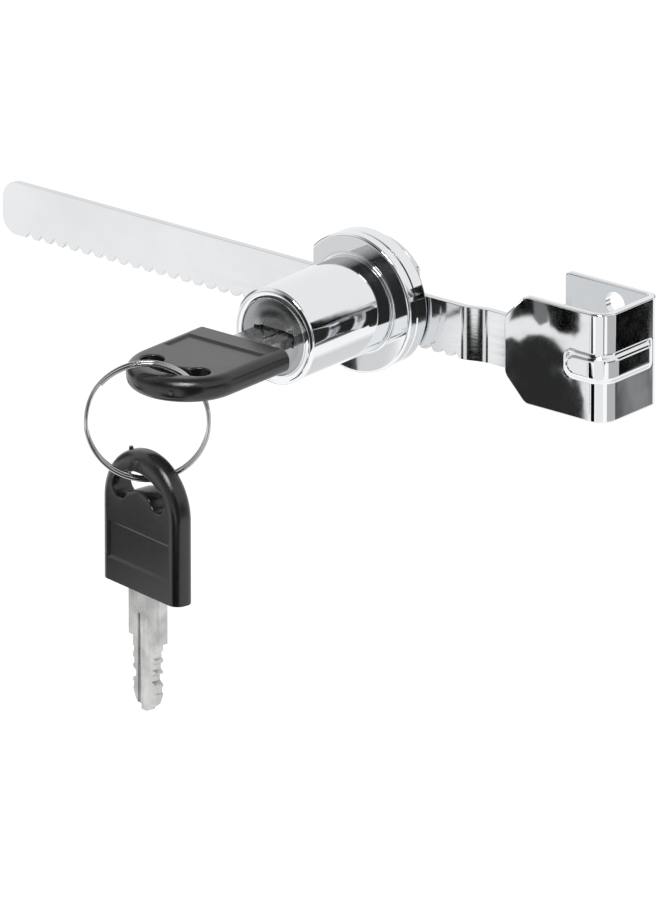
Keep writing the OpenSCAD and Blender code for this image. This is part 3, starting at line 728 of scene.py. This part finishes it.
class LOCK_OT_glass_clip(bpy.types.Operator):
    """Bent glass clip with its pressed rib and two screw holes"""

    bl_idname = "lock.glass_clip"
    bl_label = "Glass clip"

    def execute(self, context):
        s = sizes()
        low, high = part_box("glass_clip")
        half = (high.z - low.z) / 2
        left = low.x
        outer = s.sheet
        front = BAR_FRONT
        # Lengths along the flat sheet, from the end of the front leg to the end of the back leg
        straight = outer - s.front_bend - left
        front_arc, back_arc = s.front_bend * pi / 2, s.back_bend * pi / 2
        web_start = straight + front_arc
        web_end = web_start - 2 * front - s.front_bend - s.back_bend
        total = web_end + back_arc + s.back_leg - s.back_bend
        cut = s.corner
        bm = bmesh.new()
        outline_face(bm, [(0, 0, cut - half), (cut, 0, -half), (total, 0, -half),
                          (total, 0, half), (cut, 0, half), (0, 0, half - cut)])
        round_corners(bm, [v for v in bm.verts if v.co.x > total - NEAR], s.back_round, steps=8)
        round_corners(bm, [v for v in bm.verts if v.co.x < cut + NEAR], CUT_ROUND, steps=5)
        rib_half = s.rib_wide / 2
        rib_start = straight + s.front_bend - s.rib_reach + rib_half
        rib_end = web_end - RIB_SHORT
        across = [-half + RIB_GRID * k for k in range(1, int(2 * half / RIB_GRID))]
        slice_at(bm, [(0, 0, z) for z in across if abs(z) < rib_half + RIB_GRID], (0, 0, 1))
        count = int((web_end + back_arc - rib_start + rib_half) / RIB_GRID) + 1
        along = [rib_start - rib_half + RIB_GRID * k for k in range(count)]
        bends = [web_end + back_arc * k / BEND_STEPS for k in range(BEND_STEPS + 1)]
        slice_at(bm, [(x, 0, 0) for x in along + bends], (1, 0, 0))

        def bent(at, z):
            """The flat sheet's point on the bent clip's outer face, and the way out of it."""
            away = hypot(min(at - rib_start, 0), z)
            rise = s.rib_high * smooth_step(-away, -rib_half, -rib_half * RIB_TOP)
            rise *= smooth_step(-at, -rib_end, -rib_end + RIB_FADE)
            if at < straight:
                point, out = Vector((left + at, front)), Vector((0, -1))
            elif at < web_start:
                turn = (at - straight) / s.front_bend
                out = Vector((sin(turn), -cos(turn)))
                point = Vector((outer - s.front_bend, front + s.front_bend)) + s.front_bend * out
            elif at < web_end:
                point, out = Vector((outer, front + s.front_bend + at - web_start)), Vector((1, 0))
            elif at < web_end + back_arc:
                turn = (at - web_end) / s.back_bend
                out = Vector((cos(turn), sin(turn)))
                point = Vector((outer - s.back_bend, -front - s.back_bend)) + s.back_bend * out
            else:
                past = at - web_end - back_arc
                point, out = Vector((outer - s.back_bend - past, -front)), Vector((0, 1))
            return point + rise * out, out

        outs = {}
        for v in bm.verts:
            point, outs[v] = bent(v.co.x, v.co.z)
            v.co = (point.x, point.y, v.co.z)
        inner = bmesh.ops.duplicate(bm, geom=bm.verts[:] + bm.edges[:] + bm.faces[:])
        for old, new in inner["vert_map"].items():
            if old in outs:
                new.co.x -= outs[old].x * s.sheet
                new.co.y -= outs[old].y * s.sheet
        bmesh.ops.bridge_loops(bm, edges=[e for e in bm.edges if e.is_boundary])
        bmesh.ops.recalc_face_normals(bm, faces=bm.faces[:])
        soften(bm, CLIP_EDGE, steps=4, least=55)
        for side in (-1, 1):
            place = (outer - s.hole_in, side * s.hole_gap / 2)
            bm = carved(bm, [lambda shape: rod(shape, place, s.hole / 2, 0, 2 * high.y)])
        finish_piece("bent_clip", bm, polished_chrome, "bar", ["glass_clip"], smooth=40)
        return {"FINISHED"}


class LOCK_OT_lock_body(bpy.types.Operator):
    """Turned barrel and flange, with the bar's channel and the pawl's room behind"""

    bl_idname = "lock.lock_body"
    bl_label = "Lock body"

    def execute(self, context):
        bm = bmesh.new()
        self.turned(bm)
        bm = carved(bm, self.rooms())
        finish_piece("turned_body", bm, polished_chrome, "lock", ["lock_body"])
        return {"FINISHED"}

    def cover(self):
        """The rear cover's depth behind the bar's front."""
        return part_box("rear_cover")[0].y - BAR_FRONT

    def turned(self, bm):
        """The turned shape. Its profile has the radius and the depth from the bar's front."""
        s = sizes()
        low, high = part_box("plug")
        rim = (high.x - low.x) / 2 + PLUG_PLAY
        sink = low.y - BAR_FRONT + COLLAR
        cover = self.cover()
        middle, half = (s.groove + s.barrel) / 2, (s.groove - s.barrel) / 2
        turns = [pi * k / GROOVE_STEPS for k in range(GROOVE_STEPS + 1)]
        groove = [(middle - half * cos(t), -s.flange_front + s.groove_deep * sin(t)) for t in turns]
        profile = [
            (rim, -s.face), (s.barrel - CHAMFER, -s.face), (s.barrel, -s.face + CHAMFER),
            *groove, (s.flange, -s.flange_front),
            (s.flange, -LINE_AT - LINE_DEEP), (s.flange - LINE_DEEP, -LINE_AT),
            (s.flange, -LINE_AT + LINE_DEEP),
            (s.flange, -s.flange_back), (s.boss, -s.flange_back), (s.boss, cover),
            (BORE, cover), (BORE, sink), (rim, sink),
        ]
        outline_face(bm, [(r, y, 0) for r, y in profile])
        flange = (s.flange, -s.flange_front), (s.flange, -s.flange_back)
        for places, radius, steps in (
            (flange, FLANGE_ROUND, 6),
            (groove[-1:], GROOVE_ROUND, 4),
            (profile[1:3], CHAMFER_ROUND, 4),
            (profile[:1], FINE_EDGE, 3),
        ):
            corners = [v for v in bm.verts
                       if any(hypot(v.co.x - r, v.co.y - y) < NEAR for r, y in places)]
            round_corners(bm, corners, radius, steps)
        bmesh.ops.spin(bm, geom=bm.verts[:] + bm.edges[:] + bm.faces[:], cent=(0, 0, 0),
                       axis=(0, 1, 0), angle=2 * pi, steps=s.round_steps, use_merge=True)
        # The profile's own face stays inside after the spin
        inside = [f for f in bm.faces if len(f.verts) > 4]
        bmesh.ops.delete(bm, geom=inside, context="FACES_ONLY")
        bmesh.ops.remove_doubles(bm, verts=bm.verts[:], dist=MERGE)
        bmesh.ops.translate(bm, verts=bm.verts[:], vec=(AXIS.x, BAR_FRONT, AXIS.z))
        bmesh.ops.recalc_face_normals(bm, faces=bm.faces[:])

    def rooms(self):
        """Cutters for the flats, the bar's channel, the plug's tail, the pawl and its springs."""
        s = sizes()
        origin = Vector((AXIS.x, BAR_FRONT, AXIS.z))

        def room(low, high):
            """A cutter between two corners, counted from the lock's axis and the bar's front."""
            return lambda shape: block(shape, origin + Vector(low), origin + Vector(high))

        far = 2 * s.flange
        back = self.cover() + PAST_COVER
        bar_low, bar_high = BAR_LOW.z - AXIS.z - PLAY, BAR_HIGH.z - AXIS.z + PLAY
        pawl_low, pawl_high = (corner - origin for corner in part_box("locking_pawl"))
        pawl_front = pawl_low.y - PLAY
        pawl_top = pawl_high.z + JOINTS["pawl_lift"]["range_m"][1] + PLAY
        stem = STEM_HALF + PLAY
        cutters = [
            room((-far, -s.flange_front - PAST_FRONT, -far), (-s.flat, back, far)),
            room((s.flat - PLAY, -s.flange_back, -far), (far, back, far)),
            room((-far, -BAR_PLAY, bar_low), (far, back, bar_high)),
            lambda shape: rod(shape, (AXIS.x, AXIS.z), TAIL_RADIUS, BAR_FRONT - TAIL_DEEP,
                              BAR_FRONT + back, steps=96),
            room((pawl_low.x - PLAY, pawl_front, -WING_DROP - PLAY),
                 (pawl_high.x + PLAY, back, pawl_top)),
            room((-stem, pawl_front, pawl_low.z - PLAY), (stem, back, 0)),
        ]
        for side in (-1, 1):
            spring = SPRING_AT * side
            cutters.append(room((spring - WELL_HALF, -WELL_DEEP, -WELL_LOW),
                                (spring + WELL_HALF, BAR_PLAY, 0)))
        return cutters


class LOCK_OT_rear(bpy.types.Operator):
    """Rear cover and its rivets"""

    bl_idname = "lock.rear"
    bl_label = "Rear cover"

    def execute(self, context):
        dressed_copy("rear_cover", FINE_EDGE, satin_strip, "lock")
        dressed_copy("cover_rivets", RIVET_EDGE, plain_steel, "lock")
        return {"FINISHED"}


class LOCK_OT_plug(bpy.types.Operator):
    """Plug with the worn mouth of its keyway"""

    bl_idname = "lock.plug"
    bl_label = "Plug"

    def execute(self, context):
        s = sizes()
        low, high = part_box("key_1_blade")
        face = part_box("plug")[0].y
        mouth = (Vector((low.x, face - MM, high.z - s.mouth)),
                 Vector((high.x, face + s.mouth_deep, high.z + s.mouth)))
        bm = carved(node_mesh("plug"), [lambda shape: block(shape, *mouth)])
        soften(bm, PLUG_EDGE)
        finish_piece("plug_finish", bm, satin_plug, "plug", ["plug"])
        return {"FINISHED"}


class LOCK_OT_works(bpy.types.Operator):
    """Hidden works: pawl, springs, wafers and the plug's clip"""

    bl_idname = "lock.works"
    bl_label = "Works"

    def execute(self, context):
        for node in ("locking_pawl", "pawl_spring_left", "pawl_spring_right", "plug_clip",
                     "wafer_springs"):
            set_finish(node, plain_steel)
        for node in frame["nodes"]:
            if node.startswith("wafer_") and node != "wafer_springs":
                set_finish(node, stamped_brass)
        return {"FINISHED"}


class LOCK_OT_keys(bpy.types.Operator):
    """Two keys: blades in moulded heads with an arched hole"""

    bl_idname = "lock.keys"
    bl_label = "Keys"

    def execute(self, context):
        s = sizes()
        first = Matrix.Translation((AXIS.x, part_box("key_1_head")[1].y, AXIS.z))
        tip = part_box("key_2_blade")[0].z
        turn = Matrix.Rotation(s.hang_yaw, 4, "Z") @ Matrix.Rotation(-pi / 2, 4, "X")
        second = Matrix.Translation((RING.x, RING.y, tip + s.blade_out)) @ turn
        for key, place in (("key_1", first), ("key_2", second)):
            bm = bmesh.new()
            self.head(bm)
            bmesh.ops.transform(bm, matrix=place, verts=bm.verts[:])
            finish_piece(key + "_moulding", bm, moulded_black, key,
                         [key + "_head"], smooth=34)
            self.blade(key)
        return {"FINISHED"}

    def blade(self, key):
        """A milled blade: the CAD blade with round-bottomed flutes and worn edges."""
        node = key + "_blade"
        bm = node_mesh(node)
        flutes = [e for e in sharp_edges(bm, FLUTE_SHARP)
                  if not e.is_convex and e.calc_length() > FLUTE_LEAST]
        round_edges(bm, flutes, sizes().flute_round, steps=5)
        soften(bm, FINE_EDGE)
        finish_piece(node + "_finish", bm, nickel_silver, key, [node])

    def outline(self, inset):
        """The head's outline, drawn in from its edge. The straight end lies at Y 0."""
        s = sizes()
        half = s.head_wide / 2 - inset
        centre = s.head_wide / 2 - s.head_long
        turns = [pi + pi * k / END_STEPS for k in range(END_STEPS + 1)]
        sides = [centre * k / SIDE_STEPS for k in range(SIDE_STEPS)]
        round_end = [(half * cos(t), centre + half * sin(t)) for t in turns]
        return [(-half, y) for y in sides] + round_end + [(half, y) for y in reversed(sides)]

    def arch(self, grow):
        """The arched hole's outline, drawn out from its edge."""
        s = sizes()
        centre = s.slot_at - s.head_long
        reach = pi / 4
        lobe = s.lobe + grow
        inner = s.slot_round - s.slot_wide / 2 - grow
        outer = s.slot_round + s.slot_wide / 2 + grow

        def end_of(radius):
            """The angle at which this arc meets the lobes."""
            share = (radius ** 2 + s.slot_round ** 2 - lobe ** 2) / (2 * radius * s.slot_round)
            return reach - acos(share)

        def on_arc(radius, angle):
            return radius * sin(angle), centre - radius * cos(angle)

        out_end, in_end = end_of(outer), end_of(inner)
        ends = (outer, out_end), (inner, in_end)
        points = [on_arc(outer, -out_end + 2 * out_end * k / OUTER_STEPS)
                  for k in range(OUTER_STEPS + 1)]
        for side, (begin, close) in ((1, ends), (-1, ends[::-1])):
            x, y = on_arc(s.slot_round, side * reach)
            from_x, from_y = on_arc(begin[0], side * begin[1])
            to_x, to_y = on_arc(close[0], side * close[1])
            start = Vector((from_x - x, from_y - y))
            sweep = start.angle_signed(Vector((to_x - x, to_y - y)))
            sweep = -sweep if sweep < 0 else 2 * pi - sweep
            for k in range(1, LOBE_STEPS):
                turned = start.copy()
                turned.rotate(Matrix.Rotation(sweep * k / LOBE_STEPS, 2))
                points.append((x + turned.x, y + turned.y))
            if side == 1:
                points += [on_arc(inner, in_end - 2 * in_end * k / INNER_STEPS)
                           for k in range(INNER_STEPS + 1)]
        return points

    def head(self, bm):
        """A moulded head with round edges, the arched hole, the bare panel and the gate's stub."""
        s = sizes()
        half = s.head_thick / 2
        flat = half - s.head_edge
        shell = []
        for k in range(-EDGE_STEPS, EDGE_STEPS + 1):
            turn = pi / 2 * k / EDGE_STEPS
            height = s.head_edge * sin(turn) + (flat if k > 0 else -flat if k < 0 else 0)
            outline = self.outline(s.head_edge * (1 - cos(turn)))
            shell.append(closed_loop(bm, [(x, y, height) for x, y in outline]))
        wall = []
        steps = range(LIP_STEPS + 1)
        for side, order in ((-1, reversed(steps)), (1, steps)):
            for k in order:
                turn = pi / 2 * k / LIP_STEPS
                height = (half - HOLE_LIP + HOLE_LIP * sin(turn)) * side
                outline = self.arch(HOLE_LIP * (1 - cos(turn)))
                wall.append(closed_loop(bm, [(x, y, height) for x, y in outline]))
        for rings in (shell, wall):
            for a, b in zip(rings, rings[1:]):
                bmesh.ops.bridge_loops(bm, edges=a + b)
        wide, near = s.panel_wide / 2, -s.panel_at
        far = near - s.panel_long
        corners = ((-1, near, -1), (1, near, -1), (1, far, 1), (-1, far, 1))
        for side, shell_rim, wall_rim in ((-1, shell[0], wall[0]), (1, shell[-1], wall[-1])):
            top = side * half
            bottom = top - side * s.panel_deep
            edge = closed_loop(bm, [(wide * out, y, top) for out, y, up in corners])
            floor = closed_loop(bm, [(wide * out - PANEL_SLOPE * out, y + PANEL_SLOPE * up, bottom)
                                     for out, y, up in corners])
            bmesh.ops.bridge_loops(bm, edges=edge + floor)
            bmesh.ops.triangle_fill(bm, edges=shell_rim + wall_rim + edge, use_beauty=True)
            bmesh.ops.contextual_create(bm, geom=floor)
        centre = s.head_wide / 2 - s.head_long
        y = centre - ((s.head_wide / 2) ** 2 - GATE_AT ** 2) ** 0.5
        place = Matrix.Translation((GATE_AT, y, 0)) @ Matrix.Rotation(pi / 2, 4, "X")
        bmesh.ops.create_cone(bm, cap_ends=True, segments=20, radius1=GATE_RADIUS,
                              radius2=GATE_RADIUS * GATE_TAPER, depth=GATE_LONG, matrix=place)


class LOCK_OT_key_ring(bpy.types.Operator):
    """Split ring of two turns, with the step from one turn to the other"""

    bl_idname = "lock.key_ring"
    bl_label = "Key ring"

    def execute(self, context):
        s = sizes()
        low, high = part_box("key_ring")
        wire = s.wire / 2
        radius = (high.z - low.z) / 2 - wire
        layer = (s.wire + s.turn_gap) / 2
        # Place of the split, length cut from each end, and half the length of the step, as angles
        split, trimmed, step = radians(165), radians(26), radians(18)
        count, sides = 150, 14
        bm = bmesh.new()
        rings = []
        for k in range(count + 1):
            turn = trimmed + (4 * pi - 2 * trimmed) * k / count
            climb = min(max((turn - 2 * pi) / step, -1), 1)
            out = Matrix.Rotation(split + turn, 4, "Z")
            loop = []
            for j in range(sides):
                a = 2 * pi * j / sides
                height = layer * sin(pi / 2 * climb) + wire * sin(a)
                loop.append(out @ Vector((radius + wire * cos(a), 0, height)))
            rings.append(closed_loop(bm, loop))
        for a, b in zip(rings, rings[1:]):
            bmesh.ops.bridge_loops(bm, edges=a + b)
        for loop in (rings[0], rings[-1]):
            bmesh.ops.contextual_create(bm, geom=loop)
        turned = Matrix.Rotation(s.ring_yaw, 4, "Z") @ Matrix.Rotation(pi / 2, 4, "X")
        bmesh.ops.transform(bm, matrix=Matrix.Translation(RING) @ turned, verts=bm.verts[:])
        finish_piece("split_ring", bm, spring_wire, "ring", ["key_ring"], smooth=50)
        return {"FINISHED"}


class LOCK_OT_stage(bpy.types.Operator):
    """Pale floor, soft light, cloth flags for the chrome, and the camera"""

    bl_idname = "lock.stage"
    bl_label = "Stage"

    def execute(self, context):
        self.floor()
        self.light()
        self.flags()
        self.camera()
        context.scene.view_settings.view_transform = "Standard"
        return {"FINISHED"}

    def floor(self):
        """A pale floor under the object.

        Most of it shows as the white ground of the picture, and the rest keeps the object's shadow.
        """
        bm = bmesh.new()
        bmesh.ops.create_grid(bm, x_segments=1, y_segments=1, size=FLOOR_HALF)
        bmesh.ops.translate(bm, verts=bm.verts[:], vec=(0, 0, CAD_BOX[0][2] - FLOOR_DROP))
        floor = mesh_object("studio_floor", bm)
        material, tree, sockets, _ = new_material("pale_studio_floor")
        sockets["Base Color"].default_value = linear(colours().floor)
        sockets["Roughness"].default_value = 0.9
        plain = tree.nodes["Principled BSDF"].outputs[0]
        rays = add(tree, "ShaderNodeLightPath").outputs
        seen = add(tree, "ShaderNodeMath", {"operation": "MAXIMUM"}, i0=rays["Is Camera Ray"],
                   i1=rays["Is Glossy Ray"])
        share = add(tree, "ShaderNodeMath", {"operation": "MULTIPLY"}, i0=seen.outputs[0],
                    i1=FLOOR_WHITE)
        white = add(tree, "ShaderNodeEmission", Color=(1, 1, 1, 1), Strength=1.0)
        add(tree, "ShaderNodeMixShader", into=tree.nodes["Material Output"].inputs["Surface"],
            i0=share.outputs[0], i1=plain, i2=white.outputs[0])
        floor.data.materials.append(material)

    def light(self):
        """A white room that lights the object softly, and the lamps."""
        world = bpy.data.worlds.new("white_studio")
        bpy.context.scene.world = world
        world.use_nodes = True
        tree = world.node_tree
        soft = tree.nodes["Background"]
        soft.inputs["Color"].default_value = (0.9, 0.92, 0.95, 1)
        soft.inputs["Strength"].default_value = 0.55
        rays = add(tree, "ShaderNodeLightPath").outputs
        first = add(tree, "ShaderNodeMath", {"operation": "MAXIMUM"}, i0=rays["Is Camera Ray"],
                    i1=rays["Is Glossy Ray"])
        seen = add(tree, "ShaderNodeMath", {"operation": "MAXIMUM"}, i0=first.outputs[0],
                   i1=rays["Is Transmission Ray"])
        white = add(tree, "ShaderNodeBackground", Color=(1, 1, 1, 1), Strength=1.0)
        add(tree, "ShaderNodeMixShader", into=tree.nodes["World Output"].inputs["Surface"],
            i0=seen.outputs[0], i1=soft.outputs[0], i2=white.outputs[0])
        for name, place, size, power, shows in LAMPS:
            lamp = bpy.data.lights.new(name, "AREA")
            lamp.shape = "DISK"
            lamp.size = size
            lamp.energy = power
            obj = bpy.data.objects.new(name, lamp)
            obj.location = place
            obj.rotation_euler = (AXIS - Vector(place)).to_track_quat("-Z", "Y").to_euler()
            obj.visible_glossy = shows
            bpy.context.scene.collection.objects.link(obj)

    def flags(self):
        """Cloth flags out of the picture, which draw the dark patches in the chrome.

        A flat face shows a flag at its true size, so each is as large as its patch and lies where
        the face reflects to. The large grey ones stand where only other views look, and give those
        their shading.
        """
        tints = colours()
        for name, tint, plane, place, soft, points in FLAGS:
            bm = bmesh.new()
            cover = bm.verts.layers.float.new("cover")
            middle = outline_face(bm, [Vector((a, b, 0)) * MM for a, b in points])
            middle.normal_update()
            bmesh.ops.inset_individual(bm, faces=[middle], thickness=soft / 2 * MM,
                                       use_even_offset=True)
            inner = middle.verts[:]
            for v in inner:
                v[cover] = 1.0
                # The drawn outline is the middle of the soft edge
                outer = next(e.other_vert(v) for e in v.link_edges if e.other_vert(v) not in inner)
                outer.co += outer.co - v.co
            at = place * MM
            for v in bm.verts:
                a, b = v.co.xy
                v.co = {"x": (at, a, b), "y": (a, at, b), "z": (a, b, at)}[plane]
            flag = mesh_object(name, bm)
            flag.visible_camera = False
            flag.visible_diffuse = False
            flag.visible_shadow = False
            cloth = self.cloth(tint + "_studio_cloth", getattr(tints, tint))
            flag.data.materials.append(cloth)

    def cloth(self, name, tint):
        """Studio cloth in even light, which thins out toward its edges."""
        if name in bpy.data.materials:
            return bpy.data.materials[name]
        material, tree = new_material(name)[:2]
        tree.nodes.remove(tree.nodes["Principled BSDF"])
        even = add(tree, "ShaderNodeEmission", Color=linear(tint), Strength=1.0)
        clear = add(tree, "ShaderNodeBsdfTransparent")
        cover = add(tree, "ShaderNodeAttribute", {"attribute_name": "cover"})
        add(tree, "ShaderNodeMixShader", into=tree.nodes["Material Output"].inputs["Surface"],
            i0=cover.outputs["Fac"], i1=clear.outputs[0], i2=even.outputs[0])
        material.cycles.emission_sampling = "NONE"
        return material

    def camera(self):
        """The photograph's view: a long lens, from the right and a little above."""
        turn, rise = VIEW_TURN, VIEW_RISE
        right = Vector((cos(turn), sin(turn), 0))
        back = Vector((sin(turn) * cos(rise), -cos(turn) * cos(rise), sin(rise)))
        up = back.cross(right)
        middle = Vector((PICTURE_WIDE / 2, PICTURE_HIGH / 2))
        per_pixel = 1 / PIXELS_PER_MM * MM
        aim = Vector((AXIS.x, BAR_FRONT, AXIS.z))
        aim += (right * (middle.x - AXIS_IN_PICTURE.x) * per_pixel
                - up * (middle.y - AXIS_IN_PICTURE.y) * per_pixel)
        camera = bpy.data.cameras.new("camera")
        camera.sensor_fit = "HORIZONTAL"
        camera.sensor_width = 36.0
        camera.lens = camera.sensor_width * CAMERA_AWAY / (PICTURE_WIDE * per_pixel)
        camera.clip_start, camera.clip_end = 0.5, 40
        obj = bpy.data.objects.new("camera", camera)
        turned = Matrix((right, up, back)).transposed().to_4x4()
        obj.matrix_world = Matrix.Translation(aim + CAMERA_AWAY * back) @ turned
        bpy.context.scene.collection.objects.link(obj)
        bpy.context.scene.camera = obj


class LOCK_PT_pieces(bpy.types.Panel):
    """Pieces of the lock"""

    bl_label = "Glass Cabinet Door Lock"
    bl_idname = "LOCK_PT_pieces"
    bl_space_type = "VIEW_3D"
    bl_region_type = "UI"
    bl_category = "Lock"

    def draw(self, context):
        for operator in OPERATORS:
            self.layout.operator(operator.bl_idname)
        for group in (sizes(), colours()):
            box = self.layout.box()
            for name in group.__annotations__:
                box.prop(group, name)


OPERATORS = (
    LOCK_OT_ratchet_bar, LOCK_OT_glass_clip, LOCK_OT_lock_body, LOCK_OT_rear, LOCK_OT_plug,
    LOCK_OT_works, LOCK_OT_keys, LOCK_OT_key_ring, LOCK_OT_stage,
)
CLASSES = (LockSizes, LockColours) + OPERATORS + (LOCK_PT_pieces,)


def register():
    for cls in CLASSES:
        bpy.utils.register_class(cls)
    bpy.types.Scene.lock_sizes = PointerProperty(type=LockSizes)
    bpy.types.Scene.lock_colours = PointerProperty(type=LockColours)


def unregister():
    del bpy.types.Scene.lock_colours
    del bpy.types.Scene.lock_sizes
    for cls in reversed(CLASSES):
        bpy.utils.unregister_class(cls)


def main():
    register()
    bpy.ops.lock.ratchet_bar()
    bpy.ops.lock.glass_clip()
    bpy.ops.lock.lock_body()
    bpy.ops.lock.rear()
    bpy.ops.lock.plug()
    bpy.ops.lock.works()
    bpy.ops.lock.keys()
    bpy.ops.lock.key_ring()
    bpy.ops.lock.stage()


if __name__ == "__main__":
    main()
